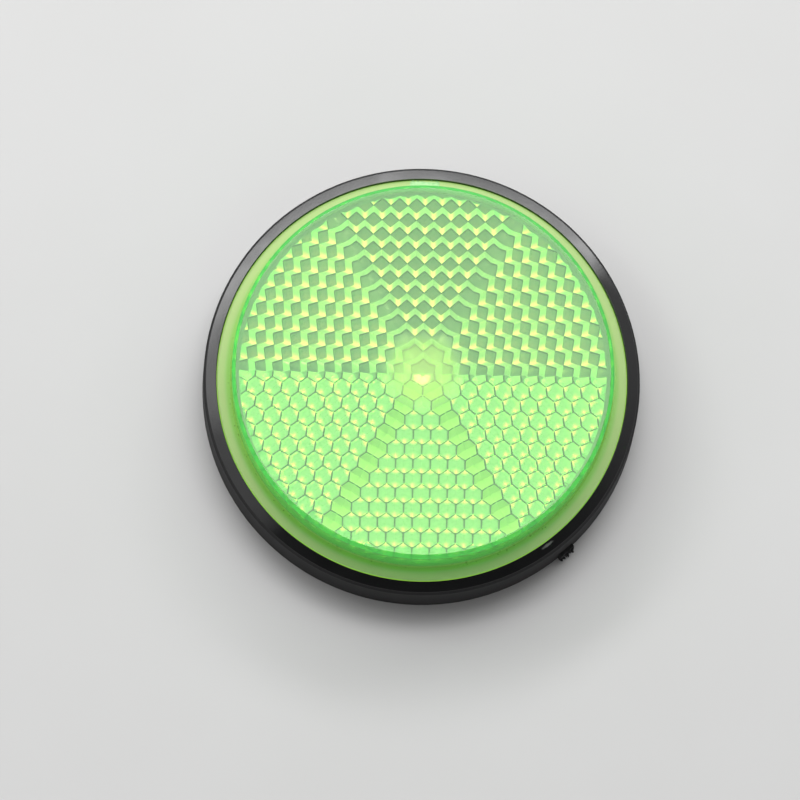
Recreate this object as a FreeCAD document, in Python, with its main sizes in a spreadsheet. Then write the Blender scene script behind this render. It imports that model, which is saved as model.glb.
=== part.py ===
import FreeCAD
import Part
import Sketcher
import math
import os

# A round bicycle reflector: a green acrylic lens welded into a black moulded housing.
# The frame has +Z out of the lens face, and its origin in the middle of the back plane.
# The lens is a shallow hat. Its flange lies in a recess of the housing, and the air
# behind its face lets a field of cube-corner prisms send light back where it came from.

SIZES = {
    # housing, outside
    "base_diameter": 60.0,    # across the wall at the back edge
    "wall_lean": 0.15,        # the wall leans in by this much up to the rim, on the radius
    "rim_width": 1.7,         # from the rim's outer edge to the recess for the lens
    "rim_fall": 0.7,          # the rim slopes down by this much to its outer edge
    "rim_bevel": 0.35,        # bevel of the rim's outer edge
    # housing, inside and behind
    "web_wall": 1.8,          # floor of the recess
    "back_depth": 4.0,        # hollow behind the floor
    "skirt_wall": 1.6,        # outer wall round the hollow
    "rib_wall": 1.2,          # stiffening ribs from the boss to the outer wall
    "rib_clear": 0.5,         # the ribs stop short of the back plane
    "rib_count": 6,
    "boss_diameter": 12.0,    # screw boss in the middle of the back
    "hole_diameter": 4.2,     # core hole of an M5 screw
    "hole_depth": 5.5,
    "hole_cap": 1.5,          # wall that closes the hole towards the lens
    "hole_lead": 0.5,         # chamfer at the mouth of the hole
    # stub that the moulding gate left on the outer wall
    "nub_width": 1.5,
    "nub_height": 1.6,
    "nub_foot": 0.6,          # height of the stub above the back plane
    "nub_proud": 0.35,
    "nub_angle": 313.0,       # degrees from +X
    # lens hat
    "flange_wall": 1.5,
    "flange_play": 0.1,       # radial gap between the flange and its recess
    "flange_sink": 0.35,      # the flange lies this far below the rim
    "flange_width": 2.05,     # the flange stands out from the side wall by this much
    "face_rise": 5.75,        # height of the face above the flange
    "face_bevel": 0.5,        # bevel of the face's edge
    "side_wall": 1.0,
    "plate_wall": 2.2,        # face plate in front of the deepest grooves
    # prisms
    "pin_pitch": 2.35,        # spacing along a row, and across the flats of a prism
    "pin_cant": 14.0,         # degrees that a prism's axis leans outwards
    "row_offset": 0.17,       # distance of a sector's first row of tips from the lens axis
    "sector_count": 6,        # each sector leans its own way
}

FULL_TURN = 360.0
UP = FreeCAD.Vector(0, 0, 1)
ORIGIN = FreeCAD.Vector(0, 0, 0)

doc = FreeCAD.newDocument("reflector")
sheet = doc.addObject("Spreadsheet::Sheet", "sizes")
for line, (name, value) in enumerate(SIZES.items(), start=1):
    sheet.set(f"A{line}", name)
    sheet.set(f"B{line}", str(value))
    sheet.setAlias(f"B{line}", name)
doc.recompute()


class Length:
    """A length worked out from the sheet: its expression and its value in millimetres."""

    def __init__(self, text, value):
        self.text = text
        self.value = value

    def __add__(self, other):
        return Length(f"{self.text} + {other.text}", self.value + other.value)

    def __sub__(self, other):
        return Length(f"{self.text} - ({other.text})", self.value - other.value)

    def half(self):
        return Length(f"({self.text}) / 2", self.value / 2)


def number(name):
    return float(sheet.get(name))


def size(name):
    return Length(f"sizes.{name}", number(name))


# Radii and heights that the two pieces share
base_radius = size("base_diameter").half()
rim_radius = base_radius - size("wall_lean")
skirt_radius = base_radius - size("skirt_wall")
seat_radius = rim_radius - size("rim_width")
seat_top = size("back_depth") + size("web_wall")
flange_top = seat_top + size("flange_wall")
rim_top = flange_top + size("flange_sink")
rim_edge = rim_top - size("rim_fall")
boss_radius = size("boss_diameter").half()
boss_top = size("hole_depth") + size("hole_cap")
flange_radius = seat_radius - size("flange_play")
face_radius = flange_radius - size("flange_width")
face_top = flange_top + size("face_rise")
prism_radius = face_radius - size("side_wall")
plate_under = face_top - size("plate_wall")
BACK_PLANE = Length("0", 0.0)
ON_AXIS = None


def new_sketch(body, name, plane):
    """A sketch on one of the body's own origin planes."""
    sketch = body.newObject("Sketcher::SketchObject", name)
    support = [item for item in body.Origin.OriginFeatures if item.Role == plane]
    sketch.AttachmentSupport = (support[0], [""])
    sketch.MapMode = "FlatFace"
    return sketch


def hold(sketch, edge, kind, axis, length):
    """Hold the start of an edge at a length from the origin, or on an axis of the sketch."""
    if length is ON_AXIS:
        sketch.addConstraint(Sketcher.Constraint("PointOnObject", edge, 1, axis))
        return
    held = sketch.addConstraint(Sketcher.Constraint(kind, -1, 1, edge, 1, length.value))
    sketch.setExpression(f"Constraints[{held}]", length.text)


def draw_outline(sketch, corners):
    """A closed outline of straight edges, with both coordinates of each corner from the sheet."""
    points = [FreeCAD.Vector(*(0.0 if item is ON_AXIS else item.value for item in corner), 0)
              for corner in corners]
    for start, end in zip(points, points[1:] + points[:1]):
        sketch.addGeometry(Part.LineSegment(start, end), False)
    for edge in range(len(points)):
        following = (edge + 1) % len(points)
        sketch.addConstraint(Sketcher.Constraint("Coincident", edge, 2, following, 1))
    for edge, (across, along) in enumerate(corners):
        hold(sketch, edge, "DistanceX", -2, across)
        hold(sketch, edge, "DistanceY", -1, along)


def revolve(body, name, corners):
    """A solid of revolution about Z from its half section, given as radius and height."""
    sketch = new_sketch(body, name + "_section", "XZ_Plane")
    draw_outline(sketch, corners)
    solid = body.newObject("PartDesign::Revolution", name)
    solid.Profile = sketch
    solid.ReferenceAxis = (sketch, ["V_Axis"])
    solid.Angle = FULL_TURN
    doc.recompute()
    return solid


def ring_edge(feature, radius, height):
    """The name of the circular edge of a feature at a radius and a height."""
    for place, edge in enumerate(feature.Shape.Edges, start=1):
        if not isinstance(edge.Curve, Part.Circle):
            continue
        miss = max(abs(edge.Curve.Radius - radius.value), abs(edge.Curve.Center.z - height.value))
        if miss < Part.Precision.confusion() * 10:
            return f"Edge{place}"
    raise RuntimeError(f"{feature.Label} has no circular edge at {radius.text}, {height.text}")


def bevel_ring(body, name, feature, radius, height, width):
    """Bevel one circular edge of the body."""
    bevel = body.newObject("PartDesign::Chamfer", name)
    bevel.Base = (feature, [ring_edge(feature, radius, height)])
    bevel.Size = width.value
    bevel.setExpression("Size", width.text)
    doc.recompute()
    return bevel


def draw_bar(sketch, start, end, width):
    """A rectangle along the sketch's X axis, centred on it."""
    low, high = start.value, end.value
    side = width.value / 2
    corners = [(low, -side), (high, -side), (high, side), (low, side)]
    points = [FreeCAD.Vector(across, along, 0) for across, along in corners]
    for first, second in zip(points, points[1:] + points[:1]):
        sketch.addGeometry(Part.LineSegment(first, second), False)
    for edge in range(len(points)):
        following = (edge + 1) % len(points)
        sketch.addConstraint(Sketcher.Constraint("Coincident", edge, 2, following, 1))
    for edge, kind in enumerate(("Horizontal", "Vertical", "Horizontal")):
        sketch.addConstraint(Sketcher.Constraint(kind, edge))
    hold(sketch, 0, "DistanceX", -2, start)
    hold(sketch, 1, "DistanceX", -2, end)
    sketch.addConstraint(Sketcher.Constraint("Symmetric", 0, 1, 3, 1, -1))
    wide = sketch.addConstraint(Sketcher.Constraint("DistanceY", 1, 1, 1, 2, width.value))
    sketch.setExpression(f"Constraints[{wide}]", width.text)


def pad(body, name, sketch, length):
    """Extrude a sketch along +Z."""
    solid = body.newObject("PartDesign::Pad", name)
    solid.Profile = sketch
    solid.Length = length.value
    solid.setExpression("Length", length.text)
    doc.recompute()
    return solid


def build_cup(body):
    """The turned form of the housing: outer wall, sloping rim, web and solid boss."""
    cup = revolve(body, "cup", [
        (ON_AXIS, ON_AXIS),
        (boss_radius, ON_AXIS),
        (boss_radius, size("back_depth")),
        (skirt_radius, size("back_depth")),
        (skirt_radius, ON_AXIS),
        (base_radius, ON_AXIS),
        (rim_radius, rim_edge),
        (seat_radius, rim_top),
        (seat_radius, seat_top),
        (boss_radius, seat_top),
        (boss_radius, boss_top),
        (ON_AXIS, boss_top),
    ])
    bevel_ring(body, "rim_edge", cup, rim_radius, rim_edge, size("rim_bevel"))


def add_ribs(body):
    """Radial ribs behind the web. They run into the boss and into the outer wall."""
    sketch = new_sketch(body, "rib_outline", "XY_Plane")
    sketch.setExpression("AttachmentOffset.Base.z", "sizes.rib_clear")
    inner = boss_radius.half() + size("hole_diameter").half().half()
    draw_bar(sketch, inner, skirt_radius + size("skirt_wall").half(), size("rib_wall"))
    rib_height = size("back_depth") + size("web_wall").half() - size("rib_clear")
    rib = pad(body, "rib", sketch, rib_height)
    ribs = body.newObject("PartDesign::PolarPattern", "ribs")
    ribs.Originals = [rib]
    ribs.Axis = (sketch, ["N_Axis"])
    ribs.Angle = FULL_TURN
    ribs.setExpression("Occurrences", "sizes.rib_count")
    body.Tip = ribs
    doc.recompute()
    return ribs


def drill_hole(body, before):
    """The blind screw hole in the boss, open at the back, with a chamfered mouth."""
    sketch = new_sketch(body, "hole_outline", "XY_Plane")
    sketch.addGeometry(Part.Circle(ORIGIN, UP, number("hole_diameter") / 2), False)
    sketch.addConstraint(Sketcher.Constraint("Coincident", 0, 3, -1, 1))
    wide = sketch.addConstraint(Sketcher.Constraint("Diameter", 0, number("hole_diameter")))
    sketch.setExpression(f"Constraints[{wide}]", "sizes.hole_diameter")
    hole = body.newObject("PartDesign::Pocket", "screw_hole")
    hole.Profile = sketch
    hole.Length = number("hole_depth")
    hole.setExpression("Length", "sizes.hole_depth")
    hole.Reversed = True
    doc.recompute()
    if hole.Shape.Volume >= before.Shape.Volume:
        raise RuntimeError("the screw hole points away from the boss")
    return bevel_ring(body, "hole_mouth", hole, size("hole_diameter").half(), BACK_PLANE,
                      size("hole_lead"))


def add_gate_nub(body):
    """The stub of the moulding gate on the outer wall."""
    sketch = new_sketch(body, "nub_outline", "XY_Plane")
    sketch.AttachmentOffset = FreeCAD.Placement(ORIGIN, FreeCAD.Rotation(UP, number("nub_angle")))
    sketch.setExpression("AttachmentOffset.Rotation.Angle", "sizes.nub_angle")
    sketch.setExpression("AttachmentOffset.Base.z", "sizes.nub_foot")
    draw_bar(sketch, base_radius - size("skirt_wall").half(), base_radius + size("nub_proud"),
             size("nub_width"))
    return pad(body, "gate_nub", sketch, size("nub_height"))


def build_housing():
    body = doc.addObject("PartDesign::Body", "housing")
    body.Label = "housing"
    build_cup(body)
    ribs = add_ribs(body)
    drill_hole(body, ribs)
    body.Tip = add_gate_nub(body)
    doc.recompute()
    return body


def build_hat():
    """The lens without its prisms: face plate, side wall and flange."""
    body = doc.addObject("PartDesign::Body", "lens_hat")
    hat = revolve(body, "hat", [
        (ON_AXIS, plate_under),
        (prism_radius, plate_under),
        (prism_radius, seat_top),
        (flange_radius, seat_top),
        (flange_radius, flange_top),
        (face_radius, flange_top),
        (face_radius, face_top),
        (ON_AXIS, face_top),
    ])
    body.Tip = bevel_ring(body, "face_edge", hat, face_radius, face_top, size("face_bevel"))
    doc.recompute()
    return body


def cube_corner():
    """The turn that stands a cube on one corner, with one face towards +X, and cants it to +X."""
    upright = FreeCAD.Rotation(FreeCAD.Vector(1, 1, 1), UP)
    outward = upright.multVec(FreeCAD.Vector(-1, 0, 0))
    facing = FreeCAD.Rotation(UP, -math.degrees(math.atan2(outward.y, outward.x)))
    lean = FreeCAD.Rotation(FreeCAD.Vector(0, 1, 0), number("pin_cant"))
    return lean.multiply(facing).multiply(upright)


def corner_height(turn, point):
    """Height of the cube corner's faces above its tip, at a point in plan."""
    normals = [turn.multVec(axis) for axis in (FreeCAD.Vector(-1, 0, 0), FreeCAD.Vector(0, -1, 0),
                                               FreeCAD.Vector(0, 0, -1))]
    return max(-(normal.x * point.x + normal.y * point.y) / normal.z for normal in normals)


def row_gap():
    """Distance between two rows of prisms, whose tips stand on a triangular grid."""
    return number("pin_pitch") * math.sqrt(3) / 2


def pin_outline(turn):
    """Corners of one prism in plan, its tip at the origin. The slanting sides follow the cube's edges."""
    half_pitch = number("pin_pitch") / 2
    side_edge = turn.multVec(FreeCAD.Vector(0, 1, 0))
    rise = half_pitch * side_edge.x / abs(side_edge.y)
    flat = row_gap() - rise
    corners = [(2 * rise, 0), (rise, half_pitch), (rise - flat, half_pitch),
               (-flat, 0), (rise - flat, -half_pitch), (rise, -half_pitch)]
    return [FreeCAD.Vector(across, along, 0) for across, along in corners]


def build_pin(turn, rim, height):
    """One six-sided prism, its tip at the origin: a column cut to the cube's corner."""
    column = Part.Face(Part.makePolygon(rim + rim[:1])).extrude(UP * height)
    edge = 2 * (height + max(point.Length for point in rim))
    cube = Part.makeBox(edge, edge, edge)
    cube.Placement = FreeCAD.Placement(ORIGIN, turn)
    return column.common(cube)


def sector_pins(pin, pin_reach, reach, tip_height):
    """Copies of the prism on its grid, over a sector that is centred on +X."""
    half_angle = math.radians(FULL_TURN / number("sector_count") / 2)
    row_count = int((reach + pin_reach) / row_gap()) + 1
    pins = []
    for row in range(-1, row_count + 1):
        across = number("row_offset") + row * row_gap()
        for column in range(-row_count, row_count + 1):
            along = (column + (row % 2) / 2) * number("pin_pitch")
            outside = abs(along) * math.cos(half_angle) - across * math.sin(half_angle)
            if outside > pin_reach or math.hypot(across, along) > reach + pin_reach:
                continue
            copy = pin.copy()
            copy.translate(FreeCAD.Vector(across, along, tip_height))
            pins.append(copy)
    return pins


def build_prism_field():
    """All prisms as one solid. It reaches into the face plate and the side wall, to be fused."""
    turn = cube_corner()
    rim = pin_outline(turn)
    depth = max(corner_height(turn, point) for point in rim)
    into_plate = number("plate_wall") / 2
    reach = prism_radius.value + number("side_wall") / 2
    pin = build_pin(turn, rim, depth + into_plate)
    tip_height = plate_under.value - depth
    pins = sector_pins(pin, max(point.Length for point in rim), reach, tip_height)
    block = pins[0].multiFuse(pins[1:]).removeSplitter()
    sector_angle = FULL_TURN / number("sector_count")
    wedge = Part.makeCylinder(reach, depth + 2 * into_plate, UP * tip_height, UP, sector_angle)
    wedge.rotate(ORIGIN, UP, -sector_angle / 2)
    sector = block.common(wedge)
    sectors = []
    for step in range(round(number("sector_count"))):
        copy = sector.copy()
        copy.rotate(ORIGIN, UP, sector_angle * (step + 1 / 2))
        sectors.append(copy)
    field = doc.addObject("Part::Feature", "prism_field")
    field.Shape = sectors[0].multiFuse(sectors[1:])
    return field


def build_lens():
    lens = doc.addObject("Part::Fuse", "lens")
    lens.Label = "lens"
    lens.Base = build_hat()
    lens.Tool = build_prism_field()
    lens.Refine = True
    doc.recompute()
    return lens


def check(pieces):
    """Stop before anything is written if a feature failed or a piece is not one sound solid."""
    for item in doc.Objects:
        if "Invalid" in item.State or "Error" in item.State:
            raise RuntimeError(f"{item.Label} did not compute: {item.State}")
    for piece in pieces:
        if piece.Shape.isNull() or not piece.Shape.isValid() or len(piece.Shape.Solids) != 1:
            raise RuntimeError(f"{piece.Label} is not one valid solid")


pieces = [build_housing(), build_lens()]
check(pieces)
os.makedirs("parts", exist_ok=True)
for piece in pieces:
    piece.Shape.exportStep(os.path.join("parts", piece.Label + ".step"))
    box = piece.Shape.optimalBoundingBox()
    print(f"{piece.Label}: {piece.Shape.Volume:.1f} mm3, {len(piece.Shape.Faces)} faces, "
          f"z {box.ZMin:.2f} to {box.ZMax:.2f}, across {box.XLength:.2f}")
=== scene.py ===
# %% [markdown]
# # Round safety reflector
# The part is two mouldings: a green acrylic lens with cube-corner prisms on its inner side, welded into a
# black ABS housing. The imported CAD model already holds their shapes, so this lesson loads it, copies each
# moulding to round its edges, adds the torn gates of both, and spends the rest on finishes and light.

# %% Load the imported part
import math

import bpy
from mathutils import Matrix, Vector
from mathutils.kdtree import KDTree


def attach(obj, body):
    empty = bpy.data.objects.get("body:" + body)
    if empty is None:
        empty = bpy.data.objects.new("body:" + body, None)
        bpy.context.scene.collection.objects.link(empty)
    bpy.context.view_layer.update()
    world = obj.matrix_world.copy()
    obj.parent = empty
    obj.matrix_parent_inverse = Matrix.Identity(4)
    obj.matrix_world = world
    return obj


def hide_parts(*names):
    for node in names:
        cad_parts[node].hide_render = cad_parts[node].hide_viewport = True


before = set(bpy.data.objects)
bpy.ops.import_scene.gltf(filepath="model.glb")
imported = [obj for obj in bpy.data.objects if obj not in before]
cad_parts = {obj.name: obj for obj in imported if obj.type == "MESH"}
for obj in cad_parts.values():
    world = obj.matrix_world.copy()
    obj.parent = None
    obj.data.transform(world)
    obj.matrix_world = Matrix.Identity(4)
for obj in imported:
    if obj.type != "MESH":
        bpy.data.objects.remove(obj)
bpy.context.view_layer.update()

MM = 0.001


# %% [markdown]
# ## Small helpers
# Colours are easiest to read as the hex values that a picture editor shows, but shaders work in linear
# light, so one function turns the first into the second. Another adds a node with its settings and links,
# so that each material below reads as a list of its nodes.

# %% Colour and node helpers
def linear(hex_colour):
    shares = [int(hex_colour[k:k + 2], 16) / 255 for k in (0, 2, 4)]
    bent = [c / 12.92 if c <= 0.04045 else ((c + 0.055) / 1.055) ** 2.4 for c in shares]
    return tuple(bent) + (1.0,)


def new_material(name):
    material = bpy.data.materials.new(name)
    material.use_nodes = True
    material.node_tree.nodes.clear()
    return material, material.node_tree


def add_node(tree, kind, settings=None, links=None):
    """Adds a node. Settings go to its properties or its inputs, links to its inputs."""
    node = tree.nodes.new(kind)
    for name, value in (settings or {}).items():
        if isinstance(name, str) and hasattr(node, name):
            setattr(node, name, value)
        else:
            node.inputs[name].default_value = value
    for name, socket in (links or {}).items():
        tree.links.new(socket, node.inputs[name])
    return node


# numbers of the two inputs and the result of a mix of colours, and of one of values
FIRST, SECOND, MIXED = 6, 7, 2
FIRST_VALUE, SECOND_VALUE, MIXED_VALUE = 2, 3, 0
print("linear mid grey:", [round(c, 3) for c in linear("808080")])

# %% [markdown]
# ## Camera
# The photograph looks down on the reflector from a little in front of it: the rim's ellipse is 2.3 percent
# narrower one way than the other, which is a view 12.4 degrees off the lens axis. One pixel of the 800
# pixel frame is 0.13655 mm at the rim. The lens is a long one, so the camera stands well back.

# %% Camera at the photograph's angle
AZIMUTH, ELEVATION, ROLL = 263.0, 77.6, math.radians(1.2)
DISTANCE = 0.8
FRAME_PIXELS, PIXEL = 800, 0.13655 * MM
CENTRE_SHIFT = (22.05, 20.9)  # pixels that the part lies right of the frame's middle and above it
RIM_HEIGHT = 7.4 * MM
SENSOR = 36


def direction(azimuth, elevation):
    azimuth, elevation = math.radians(azimuth), math.radians(elevation)
    level = math.cos(elevation)
    return Vector((level * math.cos(azimuth), level * math.sin(azimuth), math.sin(elevation)))


towards = direction(AZIMUTH, ELEVATION)
level = (Vector((1, 0, 0)) - towards * towards.x).normalized()
right = math.cos(ROLL) * level + math.sin(ROLL) * towards.cross(level)
up = towards.cross(right)
target = Vector((0, 0, RIM_HEIGHT)) - right * CENTRE_SHIFT[0] * PIXEL - up * CENTRE_SHIFT[1] * PIXEL

bpy.ops.object.select_all(action="DESELECT")
bpy.ops.object.camera_add()
camera = bpy.context.object
camera.name = "camera"
facing = Matrix((right, up, towards)).transposed().to_4x4()
camera.matrix_world = Matrix.Translation(target + towards * DISTANCE) @ facing
camera.data.sensor_width = SENSOR
camera.data.lens = SENSOR * DISTANCE / (FRAME_PIXELS * PIXEL)
camera.data.clip_start = 0.01
bpy.context.scene.camera = camera
print("camera lens %.0f mm, %.2f m away" % (camera.data.lens, DISTANCE))

# %% [markdown]
# ## Copies of the two mouldings
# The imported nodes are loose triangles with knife-sharp edges. A copy is merged into one closed shell and
# its flat faces are joined up again, so that single edges can be picked and rounded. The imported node
# itself is left as it is: the copy stands for it.

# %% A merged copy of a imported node
SAME_POINT, SAME_PLANE = 0.001 * MM, math.radians(0.4)


def merged_copy(node, name):
    bpy.ops.object.select_all(action="DESELECT")
    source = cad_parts[node]
    source.select_set(True)
    bpy.context.view_layer.objects.active = source
    bpy.ops.object.duplicate()
    piece = bpy.context.object
    piece.name = piece.data.name = name
    for key in [k for k in piece.keys() if k.startswith("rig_")]:
        del piece[key]
    piece.parent = None
    piece.data.materials.clear()
    bpy.ops.mesh.customdata_custom_splitnormals_clear()
    bpy.ops.object.mode_set(mode="EDIT")
    bpy.ops.mesh.select_all(action="SELECT")
    bpy.ops.mesh.remove_doubles(threshold=SAME_POINT)
    bpy.ops.mesh.dissolve_limited(angle_limit=SAME_PLANE)
    bpy.ops.object.mode_set(mode="OBJECT")
    print(name, "has", len(piece.data.polygons), "faces")
    return piece


def clear_selection(kind):
    """Leaves the active piece in object mode with nothing selected, set to edges or faces."""
    bpy.ops.object.mode_set(mode="EDIT")
    bpy.ops.mesh.select_mode(type=kind)
    bpy.ops.mesh.select_all(action="DESELECT")
    bpy.ops.object.mode_set(mode="OBJECT")


# %% [markdown]
# ## The lens
# A moulded lens has a small radius on every edge, and those radii draw the thin bright lines round it: one at
# the foot of its wall and one at the flange's outer edge, where a painted glow adds to the line. Rings of
# edges are picked by their radius and height and bevelled. The prisms keep sharp edges, because a blunt
# prism reflects nothing.

# %% Lens: round the rings
LENS_RINGS = (  # radius, height and rounding in mm, and its steps
    (25.5, 13.05, 0.06, 2),
    (26.0, 12.55, 0.06, 2),
    (26.0, 7.3, 0.3, 4),
    (28.05, 7.3, 0.2, 4),
)
RING_SLACK, LONGEST_EDGE = 0.03, 2.6


def pick_ring(piece, radius, height):
    """Selects the edges that run along one ring of a piece, and counts them."""
    clear_selection("EDGE")
    picked = 0
    for edge in piece.data.edges:
        ends = [piece.data.vertices[i].co / MM for i in edge.vertices]
        near = [
            abs(end.xy.length - radius) < RING_SLACK and abs(end.z - height) < RING_SLACK
            for end in ends
        ]
        if all(near) and (ends[0] - ends[1]).length < LONGEST_EDGE:
            edge.select = True
            picked += 1
    return picked


lens = merged_copy("lens", "lens_moulding")
for radius, height, offset, segments in LENS_RINGS:
    picked = pick_ring(lens, radius, height)
    bpy.ops.object.mode_set(mode="EDIT")
    bpy.ops.mesh.bevel(offset=offset * MM, segments=segments, affect="EDGES", clamp_overlap=True)
    bpy.ops.object.mode_set(mode="OBJECT")
    print("ring at radius", radius, "height", height, "edges", picked)

# %% [markdown]
# ## The prism facets
# The tool that shaped the prisms is a bundle of ground steel pins. Where two pins meet, their edges are a
# little rough, and the photograph shows that as thin dark lines round each prism. An inset on each facet
# gives it a narrow border without moving any surface, and borders along such a seam get a matt finish whose
# near-black colour is painted shade for the light the rough seam doesn't send back. Steep facets are marked
# too, because they pass light on more softly than the others.

# %% Lens: find the prism facets
FIELD_RADIUS, FIELD_TOP = 24.95, 10.86
SECTOR = math.radians(60)
# limits on the upright share of a face's normal
STANDING, STEEP_FROM, STEEP_TO, LEVEL = 0.2, 0.3, 0.6, 0.9


def in_field(face):
    place = face.center / MM
    return place.xy.length < FIELD_RADIUS and place.z < FIELD_TOP


def is_facet(face):
    return STANDING < abs(face.normal.z) < LEVEL


def lies_steep(face):
    return STEEP_FROM < abs(face.normal.z) < STEEP_TO


def stands_up(face):
    return abs(face.normal.z) < STANDING


def on_sector_border(point, slack=0.05):
    """True on the planes where two sectors of prisms meet, or as near to one as the slack in mm."""
    turn = math.atan2(point.y, point.x) / SECTOR
    return abs(math.sin((turn - round(turn)) * SECTOR)) * point.xy.length < slack * MM


print("faces in the prism field:", sum(in_field(face) for face in lens.data.polygons))

# %% Lens: find what the edges between facets are
# A ridge is the edge of one pin. A valley and the wall between two rows are seams between pins. The spine
# is the ridge between a prism's two steep facets, and its higher end lies at the wall of its row.
RIDGE, ROW, VALLEY = 0.0, 1.0, 0.9
ALIKE = 0.9  # faces whose normals agree by more than this make no edge

faces_at = {}
for face in lens.data.polygons:
    for key in face.edge_keys:
        faces_at.setdefault(key, []).append(face.index)
edge_kind = {}
spines = []
for key, pair in faces_at.items():
    one, two = (lens.data.polygons[i] for i in pair)
    ends = [lens.data.vertices[v].co.copy() for v in key]
    middle = (ends[0] + ends[1]) / 2
    bent = one.normal.dot(two.normal) <= ALIKE
    if not (in_field(one) and in_field(two) and bent) or on_sector_border(middle):
        continue
    if stands_up(one) or stands_up(two):
        edge_kind[key] = ROW
    else:
        edge_kind[key] = RIDGE if (two.center - one.center).dot(one.normal) < 0 else VALLEY
    if edge_kind[key] == RIDGE and lies_steep(one) and lies_steep(two):
        tip, end = sorted(ends, key=lambda point: point.z)
        spines.append((middle, (end - tip).normalized(), end))
kinds = list(edge_kind.values())
print("ridges", kinds.count(RIDGE), "row walls", kinds.count(ROW), "valleys", kinds.count(VALLEY))

# %% Lens: give each full facet a narrow border
# The three near sectors, on the side of -Y, show wider seams than the far ones.
BORDERS = ((-1, 0.15), (1, 0.1))  # side and width in mm
FULL_FACET = 0.5 * MM * MM
first_new = len(lens.data.vertices)
for side, width in BORDERS:
    clear_selection("FACE")
    for face in lens.data.polygons:
        full = face.area > FULL_FACET and all(v < first_new for v in face.vertices)
        face.select = full and in_field(face) and face.center.y * side > 0 and is_facet(face)
    chosen = sum(face.select for face in lens.data.polygons)
    bpy.ops.object.mode_set(mode="EDIT")
    bpy.ops.mesh.inset(thickness=width * MM, use_even_offset=True, use_individual=True)
    bpy.ops.object.mode_set(mode="OBJECT")
    print("facets with a border of", width, "mm:", chosen)

# %% Lens: measure how near a point is to a spine
# The photograph has a warm patch of light in each prism, painted here as a glint. In the far sectors it lies
# along the spine, and in the near ones at the spine's end. Past 1 the painted glint is at its brightest, so a
# larger value makes it larger.
SPINE_REACH, SPINE_END, IN_PLANE = 1.1 * MM, 0.5 * MM, 0.03 * MM
NEAR_PATCH = 1.25
spine_tree = KDTree(len(spines))
for k, (middle, along, end) in enumerate(spines):
    spine_tree.insert(middle, k)
spine_tree.balance()


def nearness_to_spine(face, point):
    found = [0.0]
    for middle, k, gap in spine_tree.find_n(point, 4):
        if abs((middle - face.center).dot(face.normal)) < IN_PLANE:
            along, end = spines[k][1:]
            if point.y > 0:
                found.append(1 - (point - middle).cross(along).length / SPINE_REACH)
            elif (point - end).length < SPINE_END:
                found.append(NEAR_PATCH)
    return max(found)


print("spines:", len(spines))

# %% Lens: store what each face is
# Red marks a steep facet, green a seam, and blue the flange's outer edge, which gets a painted glow. Alpha is
# the painted glint at a spine. The three far sectors came out of the tool more satin than the near ones.
# Seams get the second, matt material, painted dark there as shade, and so do prisms that a near sector
# border cuts off, in a pale colour.
NEAR_SHARE = 0.12
MATT = 1
CUT_FROM, CUT_WIDTH = -1.5 * MM, 1.1
EDGE_RADIUS, EDGE_HEIGHT, EDGE_SLOPE = 27.8, 6.95, 0.62


def facet_marks(face):
    """How steep a face of the field is, and how much of a seam."""
    old = tuple(sorted(v for v in face.vertices if v < first_new))
    between_sectors = stands_up(face) and on_sector_border(face.center)
    steep = float(lies_steep(face) or between_sectors)
    steep *= 1.0 if face.center.y > 0 else NEAR_SHARE
    if stands_up(face):
        return steep, RIDGE if between_sectors else ROW
    is_border = len(old) == 2 and len(face.vertices) == 4
    return steep, edge_kind.get(old, RIDGE) if is_border else RIDGE


def is_cut(face):
    return face.center.y < CUT_FROM and on_sector_border(face.center, CUT_WIDTH) and is_facet(face)


def is_flange_edge(face):
    place = face.center / MM
    outside = place.xy.length > EDGE_RADIUS and place.z > EDGE_HEIGHT
    return outside and abs(face.normal.z) < EDGE_SLOPE


marks = lens.data.color_attributes.new(name="facet", type="FLOAT_COLOR", domain="CORNER")
for face in lens.data.polygons:
    prism = in_field(face)
    steep, seam = facet_marks(face) if prism else (0.0, 0.0)
    painted_edge_glow = float(not prism and is_flange_edge(face))
    if prism and (seam == ROW or is_cut(face) or (seam and face.center.y < 0)):
        face.material_index = MATT
    for corner in face.loop_indices:
        point = lens.data.vertices[lens.data.loops[corner].vertex_index].co
        painted_glint = nearness_to_spine(face, point) if prism and lies_steep(face) else 0.0
        marks.data[corner].color = (steep, seam, painted_edge_glow, painted_glint)
matt_faces = sum(face.material_index == MATT for face in lens.data.polygons)
print("lens faces:", len(lens.data.polygons), "of which matt:", matt_faces)

# %% Lens: smooth the rings and keep the flats flat
def smooth_rings(piece, angle):
    bpy.ops.object.shade_smooth_by_angle(angle=math.radians(angle))
    weighted = piece.modifiers.new("flat_faces_first", "WEIGHTED_NORMAL")
    weighted.weight = 80
    weighted.keep_sharp = True
    bpy.ops.object.modifier_apply(modifier=weighted.name)


smooth_rings(lens, 30)
print("lens shaded")

# %% [markdown]
# ## The housing
# The black housing is one moulding too. A bevel with an angle limit rounds all its edges at once, on the
# rim, the wall and the ribs of the back. Half a tenth of a millimetre more or less decides how wide the
# highlight on the rim is.

# %% Housing: round all edges
housing = merged_copy("housing", "housing_moulding")
rounding = housing.modifiers.new("moulded_radius", "BEVEL")
rounding.width = 0.1 * MM
rounding.segments = 2
rounding.limit_method = "ANGLE"
rounding.angle_limit = math.radians(32)
rounding.use_clamp_overlap = True
bpy.ops.object.modifier_apply(modifier=rounding.name)
smooth_rings(housing, 35)
print("housing faces:", len(housing.data.polygons))

# %% [markdown]
# ## Torn gate on the wall
# Low on the wall there is a ragged lump where the sprue was broken off the housing. It starts as a small
# block, is divided, and some of its outer faces are pulled out to points. A seeded shake gives the torn
# surface, and the same seed gives the same lump on every run.

# %% A torn lump of plastic
POINT_SHARE = 0.25  # a pulled face shrinks to this share of its size


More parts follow.
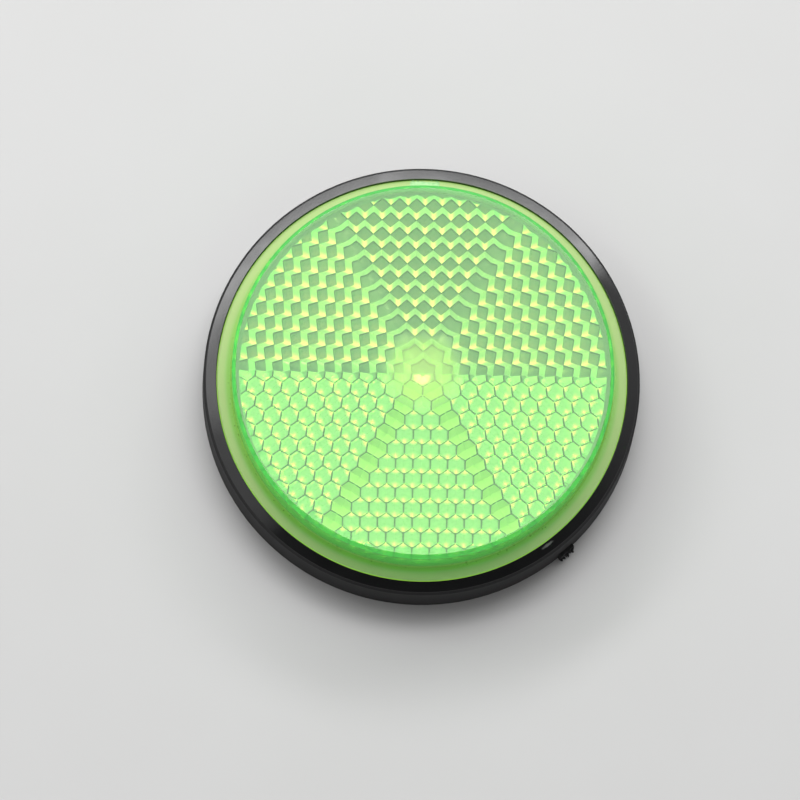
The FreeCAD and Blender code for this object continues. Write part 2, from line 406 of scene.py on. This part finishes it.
def torn_lump(name, angle, radius, low, high, width, depth, spikes, seed, shake):
    bpy.ops.object.select_all(action="DESELECT")
    bpy.ops.mesh.primitive_cube_add(size=1)
    lump = bpy.context.object
    lump.name = lump.data.name = name
    turn = Matrix.Rotation(math.radians(angle), 4, "Z")
    spot = turn @ Vector((radius, 0, (low + high) / 2))
    block = Matrix.Diagonal((depth * MM, width * MM, (high - low) * MM, 1))
    lump.matrix_world = Matrix.Translation(spot * MM) @ turn @ block
    bpy.ops.object.transform_apply(location=True, rotation=True, scale=True)
    bpy.ops.object.mode_set(mode="EDIT")
    bpy.ops.mesh.select_all(action="SELECT")
    bpy.ops.mesh.subdivide(number_cuts=5)
    bpy.ops.object.mode_set(mode="OBJECT")
    out = turn @ Vector((1, 0, 0))
    faces = [face.index for face in lump.data.polygons if face.normal.dot(out) > 0.8]
    for k, (pick, pull) in enumerate(spikes):
        clear_selection("FACE")
        lump.data.polygons[faces[pick % len(faces)]].select = True
        bpy.ops.object.mode_set(mode="EDIT")
        # each point leans its own way
        lean = turn @ Vector((1, 0.5 * math.sin(2.4 * k), 0.4 * math.cos(1.7 * k)))
        step = tuple(lean.normalized() * pull * MM)
        bpy.ops.mesh.extrude_region_move(TRANSFORM_OT_translate={"value": step})
        bpy.ops.transform.resize(value=(POINT_SHARE, POINT_SHARE, POINT_SHARE))
        bpy.ops.object.mode_set(mode="OBJECT")
    bpy.ops.object.mode_set(mode="EDIT")
    bpy.ops.mesh.select_all(action="SELECT")
    bpy.ops.transform.vertex_random(offset=shake * MM, uniform=0.0, normal=0.0, seed=seed)
    bpy.ops.mesh.quads_convert_to_tris()
    bpy.ops.mesh.normals_make_consistent(inside=False)
    bpy.ops.object.mode_set(mode="OBJECT")
    print(name, "has", len(lump.data.polygons), "faces")
    return lump


# %% Gate flash on the housing
FLASH_SPIKES = (  # which outer face is pulled, and how far in mm
    (1, 0.35), (4, 0.3), (8, 0.5), (12, 0.3), (15, 0.45),
    (19, 0.35), (22, 0.55), (26, 0.3), (29, 0.5), (33, 0.4),
)
flash = torn_lump(
    "gate_flash", angle=312.0, radius=29.85, low=0.15, high=2.2, width=2.4, depth=1.2,
    spikes=FLASH_SPIKES, seed=4, shake=0.13,
)

# %% [markdown]
# ## Gate scar on the flange
# The lens was filled through a thin film at the top of its flange. The film was snapped off, and what is
# left is a low frosted strip, 4 mm wide, with a ragged outer edge. The same torn lump makes it, much flatter.

# %% Gate scar on the lens
SCAR_SPIKES = ((3, 0.2), (7, 0.28), (11, 0.16), (15, 0.3), (21, 0.2), (27, 0.26), (33, 0.18))
scar = torn_lump(
    "lens_gate_scar", angle=90.0, radius=27.4, low=7.2, high=7.34, width=4.0, depth=0.7,
    spikes=SCAR_SPIKES, seed=9, shake=0.06,
)

# %% [markdown]
# ## Fluorescent acrylic
# The lens is clear acrylic with a dye that swallows blue light and gives it back as green. The surface is
# polished plastic with a green tint, and the body is an absorbing volume with a green glow for the dye. The
# glow is painted light: a fixed emission that shines whatever the lamps do. That is why thick places look
# deeper and why edges shine brighter than faces. The finish differs from place to place: the flange and the
# foot of the wall are frosted, the middle of the face and the steep facets are a little satin, and the warm
# patches in the prisms are painted glints.

# %% Lens material: where each finish goes
acrylic, tree = new_material("fluorescent_green_acrylic")
place = add_node(tree, "ShaderNodeTexCoord").outputs["Object"]
height = add_node(tree, "ShaderNodeSeparateXYZ", links={"Vector": place}).outputs["Z"]
flat = add_node(tree, "ShaderNodeVectorMath", {"operation": "MULTIPLY", 1: (1, 1, 0)}, {0: place})
reach = add_node(
    tree, "ShaderNodeVectorMath", {"operation": "LENGTH"}, {0: flat.outputs["Vector"]}
).outputs["Value"]
facet = add_node(tree, "ShaderNodeAttribute", {"attribute_name": "facet"}).outputs
channels = add_node(tree, "ShaderNodeSeparateColor", links={"Color": facet["Color"]}).outputs
steep, painted_edge_glow = channels["Red"], channels["Blue"]
# how much of the painted glint a point gets
painted_glint = add_node(
    tree, "ShaderNodeMapRange",
    {"interpolation_type": "SMOOTHSTEP", "From Min": 0.4, "From Max": 0.95},
    {"Value": facet["Alpha"]},
).outputs["Result"]
LEVELS = {  # heights in mm: above the flange, at the flange, on the face
    "high": ("GREATER_THAN", 7.65), "low": ("LESS_THAN", 7.7), "top": ("GREATER_THAN", 13.0),
}
levels = {
    name: add_node(
        tree, "ShaderNodeMath", {"operation": test, 1: limit * MM}, {0: height}
    ).outputs["Value"]
    for name, (test, limit) in LEVELS.items()
}
SPOTS = {  # radii in mm where a finish starts and where it is full, and its level
    "flange": (26.4, 27.2, "low"),
    "foot": (25.9, 26.05, "low"),
    "side": (25.42, 25.52, "high"),
    "centre": (6.4, 3.4, None),
    "painted_glow_heart": (6.2, 0.5, "top"),
}
spots = {}
for name, (start, full, where) in SPOTS.items():
    spots[name] = add_node(
        tree, "ShaderNodeMapRange",
        {"interpolation_type": "SMOOTHSTEP", "From Min": start * MM, "From Max": full * MM},
        {"Value": reach},
    ).outputs["Result"]
    if where:
        spots[name] = add_node(
            tree, "ShaderNodeMath", {"operation": "MULTIPLY"}, {0: spots[name], 1: levels[where]}
        ).outputs["Value"]
print("finishes by place:", list(spots))

# %% Lens material: one finish over another
# Each line is a finish: its colour where it scatters, how clear it is, how rough, and the light it gives
# off, as linear red, green and blue. That light is a painted glow. It is stronger at the flange's edge, in
# the middle of the face and in the warm patches, where it paints edge light and glints. A part of the dye's
# painted glow is in the surface, so that a model without the volume is green as well.
DYE_TINT, POLISH, PAINTED_DYE_GLOW = "d8fcc8", 0.01, (0.03, 0.09, 0.028)
FINISHES = (
    (steep, "f8ffe0", 0.45, 0.06, PAINTED_DYE_GLOW),
    # painted glint: a cream colour with a painted glow
    (painted_glint, "fff0c8", 0.1, 0.1, (0.42, 0.3, 0.1)),
    (spots["side"], "40c44c", 0.5, 0.15, PAINTED_DYE_GLOW),
    (spots["foot"], "a4dc40", 0.45, 0.3, PAINTED_DYE_GLOW),
    (spots["flange"], "d4e294", 0.4, 0.5, PAINTED_DYE_GLOW),
    # painted glow at the flange's outer edge
    (painted_edge_glow, "c8ff50", 0.3, 0.2, (0.28, 0.6, 0.05)),
    (spots["centre"], "d8ff96", 0.85, 0.2, PAINTED_DYE_GLOW),
    # painted glow in the middle of the face, over the same frosting as the centre
    (spots["painted_glow_heart"], "d8ff96", 0.85, 0.2, (0.152, 0.2, 0.063)),
)
base = (linear(DYE_TINT), 1.0, POLISH, PAINTED_DYE_GLOW + (1.0,))
chain = []
for mask, tint, clearness, roughness, painted_glow in FINISHES:
    layers = []
    for k, value in enumerate((linear(tint), clearness, roughness, painted_glow + (1.0,))):
        is_colour = isinstance(value, tuple)
        under, over, result = FIRST_VALUE, SECOND_VALUE, MIXED_VALUE
        if is_colour:
            under, over, result = FIRST, SECOND, MIXED
        layer = add_node(
            tree, "ShaderNodeMix",
            {"data_type": "RGBA" if is_colour else "FLOAT", under: base[k], over: value}, {0: mask},
        )
        if chain:
            tree.links.new(chain[k], layer.inputs[under])
        layers.append(layer.outputs[result])
    chain = layers
colour, clear, rough, painted_glow_colour = chain
print("finishes:", len(FINISHES))

# %% Lens material: the surface
# The grain of the frosted flange is drawn at 0.3 mm so that it shows. It makes the roughness uneven by a
# quarter either way.
FROST = 0.3 * MM
grain = add_node(
    tree, "ShaderNodeTexNoise", {"Scale": 1 / FROST, "Detail": 2.0}, {"Vector": place}
).outputs["Fac"]
uneven = add_node(
    tree, "ShaderNodeMath", {"operation": "MULTIPLY_ADD", 1: 0.5, 2: 0.75}, {0: grain}
).outputs["Value"]
rough = add_node(
    tree, "ShaderNodeMath", {"operation": "MULTIPLY"}, {0: rough, 1: uneven}
).outputs["Value"]
surface = add_node(
    tree, "ShaderNodeBsdfPrincipled", {"IOR": 1.49, "Emission Strength": 1.0},
    {"Base Color": colour, "Transmission Weight": clear, "Roughness": rough, "Emission Color": painted_glow_colour},
).outputs["BSDF"]
print("surface set, grain", FROST / MM, "mm")

# %% Lens material: the dye in its body
# Blue light is swallowed at about 0.07 per mm. The dye's green is a fixed painted glow, more the longer the
# path, whatever the lamps do.
dye = add_node(
    tree, "ShaderNodeVolumeAbsorption", {"Color": (0.97, 1.0, 0.0, 1.0), "Density": 70.0}
).outputs["Volume"]
# painted glow for the dye, fixed whatever the lamps do
painted_glow = add_node(
    tree, "ShaderNodeEmission", {"Color": (0.36, 1.0, 0.36, 1.0), "Strength": 38.0}
).outputs["Emission"]
body = add_node(tree, "ShaderNodeAddShader", links={0: dye, 1: painted_glow}).outputs["Shader"]
add_node(tree, "ShaderNodeOutputMaterial", links={"Surface": surface, "Volume": body})
lens.data.materials.append(acrylic)
print(acrylic.name, "has", len(tree.nodes), "nodes")

# %% Lens material: matt seams
# Along the seams between pins the steel is rough, so the acrylic there is matt. Its near-black colour is
# painted shade for the light that such a seam doesn't send back into the plate. Prisms that a sector border
# cuts off are matt too, but pale.
MATT_GRAIN = 0.4 * MM
matt, tree = new_material("acrylic_matt_with_painted_seam_shade")
place = add_node(tree, "ShaderNodeTexCoord").outputs["Object"]
facet = add_node(tree, "ShaderNodeAttribute", {"attribute_name": "facet"}).outputs["Color"]
seam = add_node(tree, "ShaderNodeSeparateColor", links={"Color": facet}).outputs["Green"]
grain = add_node(
    tree, "ShaderNodeTexNoise", {"Scale": 1 / MATT_GRAIN, "Detail": 2.0}, {"Vector": place}
).outputs["Fac"]
# pale for cut-off prisms, and near black as painted shade on the seams
pale, painted_seam_shade = (
    add_node(
        tree, "ShaderNodeMix",
        {"data_type": "RGBA", FIRST: linear(one), SECOND: linear(other)}, {0: grain},
    ).outputs[MIXED]
    for one, other in (("c4e488", "e0f6b0"), ("042808", "0c4414"))
)
shade = add_node(
    tree, "ShaderNodeMix", {"data_type": "RGBA"}, {0: seam, FIRST: pale, SECOND: painted_seam_shade}
).outputs[MIXED]
surface = add_node(
    tree, "ShaderNodeBsdfPrincipled", {"Specular IOR Level": 0.0, "Roughness": 0.8},
    {"Base Color": shade},
).outputs["BSDF"]
add_node(tree, "ShaderNodeOutputMaterial", links={"Surface": surface})
lens.data.materials.append(matt)
print(matt.name, "is slot", lens.data.materials.find(matt.name), "on", matt_faces, "faces")

# %% Gate scar material
# Torn acrylic is frosted through and through, so it scatters light instead of passing it on.
TORN_GRAIN = 0.25 * MM
torn, tree = new_material("torn_green_acrylic")
place = add_node(tree, "ShaderNodeTexCoord").outputs["Object"]
grain = add_node(
    tree, "ShaderNodeTexNoise", {"Scale": 1 / TORN_GRAIN, "Detail": 3.0}, {"Vector": place}
).outputs["Fac"]
shade = add_node(
    tree, "ShaderNodeMix",
    {"data_type": "RGBA", FIRST: linear("7cc070"), SECOND: linear("d8f4c4")}, {0: grain},
).outputs[MIXED]
surface = add_node(
    tree, "ShaderNodeBsdfPrincipled", {"IOR": 1.49, "Roughness": 0.5}, {"Base Color": shade}
).outputs["BSDF"]
add_node(tree, "ShaderNodeOutputMaterial", links={"Surface": surface})
scar.data.materials.append(torn)
print(torn.name, "has", len(tree.nodes), "nodes")

# %% [markdown]
# ## Black ABS
# The housing is black ABS from a tool with a fine spark-eroded skin. Its own colour is nearly black, so
# what the eye sees is the soft light that the satin skin throws back, broken up by the grain of the skin.

# %% Housing material: colour and gloss
SKIN_GRAIN, CLOUD = 0.35 * MM, 4 * MM
abs_black, tree = new_material("black_abs_satin")
place = add_node(tree, "ShaderNodeTexCoord").outputs["Object"]
skin, cloud = (
    add_node(
        tree, "ShaderNodeTexNoise", {"Scale": 1 / size, "Detail": detail}, {"Vector": place}
    ).outputs["Fac"]
    for size, detail in ((SKIN_GRAIN, 3.0), (CLOUD, 2.0))
)
shade = add_node(
    tree, "ShaderNodeMix",
    {"data_type": "RGBA", FIRST: linear("0f0f10"), SECOND: linear("19191a")}, {0: cloud},
).outputs[MIXED]
gloss = add_node(
    tree, "ShaderNodeMapRange",
    {"From Min": 0.3, "From Max": 0.7, "To Min": 0.14, "To Max": 0.22}, {"Value": cloud},
).outputs["Result"]
print("skin grain", SKIN_GRAIN / MM, "mm, clouds", CLOUD / MM, "mm")

# %% Housing material: a duller wall
# The wall and the rim's outer edge are duller than the rim, because they drag along the steel when the part
# is pushed out.
WALL_RADIUS, WALL_TOP, WALL_FULL, WALL_ROUGH = 29.5 * MM, 7.1 * MM, 7.0 * MM, 0.9
flat = add_node(tree, "ShaderNodeVectorMath", {"operation": "MULTIPLY", 1: (1, 1, 0)}, {0: place})
reach = add_node(
    tree, "ShaderNodeVectorMath", {"operation": "LENGTH"}, {0: flat.outputs["Vector"]}
).outputs["Value"]
height = add_node(tree, "ShaderNodeSeparateXYZ", links={"Vector": place}).outputs["Z"]
below = add_node(
    tree, "ShaderNodeMapRange", {"From Min": WALL_TOP, "From Max": WALL_FULL}, {"Value": height}
).outputs["Result"]
outside = add_node(
    tree, "ShaderNodeMath", {"operation": "GREATER_THAN", 1: WALL_RADIUS}, {0: reach}
).outputs["Value"]
wall = add_node(
    tree, "ShaderNodeMath", {"operation": "MULTIPLY"}, {0: below, 1: outside}
).outputs["Value"]
gloss = add_node(
    tree, "ShaderNodeMix", {SECOND_VALUE: WALL_ROUGH}, {0: wall, FIRST_VALUE: gloss}
).outputs[MIXED_VALUE]
print("wall roughness", WALL_ROUGH)

# %% Housing material: a scuff across the rim
# It is 2 mm long and 0.4 mm wide, and the skin breaks it up.
SCUFF_ANGLE, SCUFF_RADIUS, SCUFF_HEIGHT = math.radians(307.4), 28.6 * MM, 7.4 * MM
SCUFF_HALF, SCUFF_ROUGH = (0.22 * MM, 1.05 * MM, 1.0 * MM), 0.5
spot = (SCUFF_RADIUS * math.cos(SCUFF_ANGLE), SCUFF_RADIUS * math.sin(SCUFF_ANGLE), SCUFF_HEIGHT)
scuff = add_node(
    tree, "ShaderNodeMapping",
    {"vector_type": "TEXTURE", "Location": spot, "Rotation": (0, 0, SCUFF_ANGLE), "Scale": SCUFF_HALF},
    {"Vector": place},
).outputs["Vector"]
scuff = add_node(
    tree, "ShaderNodeVectorMath", {"operation": "LENGTH"}, {0: scuff}
).outputs["Value"]
scuff = add_node(
    tree, "ShaderNodeMath", {"operation": "ADD"}, {0: scuff, 1: skin}
).outputs["Value"]
scuff = add_node(
    tree, "ShaderNodeMapRange", {"From Min": 1.5, "From Max": 0.9}, {"Value": scuff}
).outputs["Result"]
shade = add_node(
    tree, "ShaderNodeMix",
    {"data_type": "RGBA", SECOND: linear("666665")}, {0: scuff, FIRST: shade},
).outputs[MIXED]
gloss = add_node(
    tree, "ShaderNodeMix", {SECOND_VALUE: SCUFF_ROUGH}, {0: scuff, FIRST_VALUE: gloss}
).outputs[MIXED_VALUE]
print("scuff at", [round(c / MM, 1) for c in spot], "mm")

# %% Housing material: the surface
bump = add_node(
    tree, "ShaderNodeBump", {"Strength": 0.25, "Distance": 0.01 * MM}, {"Height": skin}
).outputs["Normal"]
surface = add_node(
    tree, "ShaderNodeBsdfPrincipled", {"IOR": 1.53},
    {"Base Color": shade, "Roughness": gloss, "Normal": bump},
).outputs["BSDF"]
add_node(tree, "ShaderNodeOutputMaterial", links={"Surface": surface})
housing.data.materials.append(abs_black)
flash.data.materials.append(abs_black)
print(abs_black.name, "has", len(tree.nodes), "nodes")

# %% [markdown]
# ## Floor and light
# The reflector lies on a pale sheet. Two long windows stand behind it and two smaller ones on its left: they
# turn the far side of the rim grey. Two soft lights under the ceiling lie where the face mirrors them, and
# put a faint white veil on it. The sky is white low down and dark round the camera, as a room is where the
# photographer stands, so the prisms that send the camera's own direction back stay green.

# %% Floor
SMUDGE = 40 * MM
bpy.ops.object.select_all(action="DESELECT")
bpy.ops.mesh.primitive_plane_add(size=3)
floor = bpy.context.object
floor.name = "floor"
paper, tree = new_material("pale_paper")
place = add_node(tree, "ShaderNodeTexCoord").outputs["Object"]
smudge = add_node(
    tree, "ShaderNodeTexNoise", {"Scale": 1 / SMUDGE, "Detail": 4.0}, {"Vector": place}
).outputs["Fac"]
shade = add_node(
    tree, "ShaderNodeMix",
    {"data_type": "RGBA", FIRST: linear("c6c6c5"), SECOND: linear("cdcdcd")}, {0: smudge},
).outputs[MIXED]
surface = add_node(
    tree, "ShaderNodeBsdfPrincipled", {"Roughness": 0.6}, {"Base Color": shade}
).outputs["BSDF"]
add_node(tree, "ShaderNodeOutputMaterial", links={"Surface": surface})
floor.data.materials.append(paper)
print("floor", floor.dimensions.xy[:])

# %% Soft lights
LAMP_DISTANCE = 0.8
LIGHTS = (  # azimuth and elevation in degrees, width and height in m, radiance
    ("window_right", 72, 35, 0.66, 0.12, 8.0),
    ("window_left", 128, 37.5, 0.70, 0.12, 8.0),
    ("window_far_left", 165, 45, 0.26, 0.20, 2.5),
    ("window_side", 197, 50, 0.30, 0.16, 1.0),
    ("ceiling", 83, 64, 0.60, 0.24, 5.6),
    ("ceiling_end", 83, 79, 0.30, 0.16, 4.0),
)
for name, azimuth, elevation, width, height, radiance in LIGHTS:
    away = direction(azimuth, elevation)
    bpy.ops.object.light_add(type="AREA")
    lamp = bpy.context.object
    lamp.name = name
    lamp.data.shape = "RECTANGLE"
    lamp.data.size, lamp.data.size_y = width, height
    lamp.data.energy = radiance * math.pi * width * height
    facing = away.to_track_quat("Z", "Y").to_matrix().to_4x4()
    lamp.matrix_world = Matrix.Translation(away * LAMP_DISTANCE) @ facing
    print(name, "%.2f W" % lamp.data.energy)

# %% Sky
CAMERA_SIDE = (0.0, -0.36, 0.933)
WHITE_FROM, DARK_FROM = math.cos(math.radians(64)), math.cos(math.radians(30))
WHITE_SKY, DARK_SKY = 0.7, 0.06
world = bpy.data.worlds.new("pale_room")
bpy.context.scene.world = world
world.use_nodes = True
tree = world.node_tree
tree.nodes.clear()
looking = add_node(tree, "ShaderNodeTexCoord").outputs["Generated"]
near_camera = add_node(
    tree, "ShaderNodeVectorMath", {"operation": "DOT_PRODUCT", 1: CAMERA_SIDE}, {0: looking}
).outputs["Value"]
strength = add_node(
    tree, "ShaderNodeMapRange",
    {"interpolation_type": "SMOOTHSTEP", "From Min": WHITE_FROM, "From Max": DARK_FROM,
     "To Min": WHITE_SKY, "To Max": DARK_SKY},
    {"Value": near_camera},
).outputs["Result"]
sky = add_node(tree, "ShaderNodeBackground", {"Color": (1.0, 1.0, 1.0, 1.0)}, {"Strength": strength})
add_node(tree, "ShaderNodeOutputWorld", links={"Surface": sky.outputs["Background"]})
print("sky from", WHITE_SKY, "to", DARK_SKY)

# %% [markdown]
# ## Join the pieces to the part
# Nothing moves on a welded reflector, so every piece rides on the one body. The copies stand for the packed
# nodes, which are hidden.

# %% Ride and replace
for piece, node in ((lens, "lens"), (housing, "housing")):
    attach(piece, "root")
    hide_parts(node)
for piece, slot in ((flash, "housing"), (scar, "lens")):
    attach(piece, "root")

# light bounces many times between the facets before it leaves the lens
scene = bpy.context.scene
scene.view_settings.view_transform = "Standard"
scene.cycles.max_bounces = 24
scene.cycles.glossy_bounces = 16
scene.cycles.transmission_bounces = 16
scene.cycles.transparent_max_bounces = 16
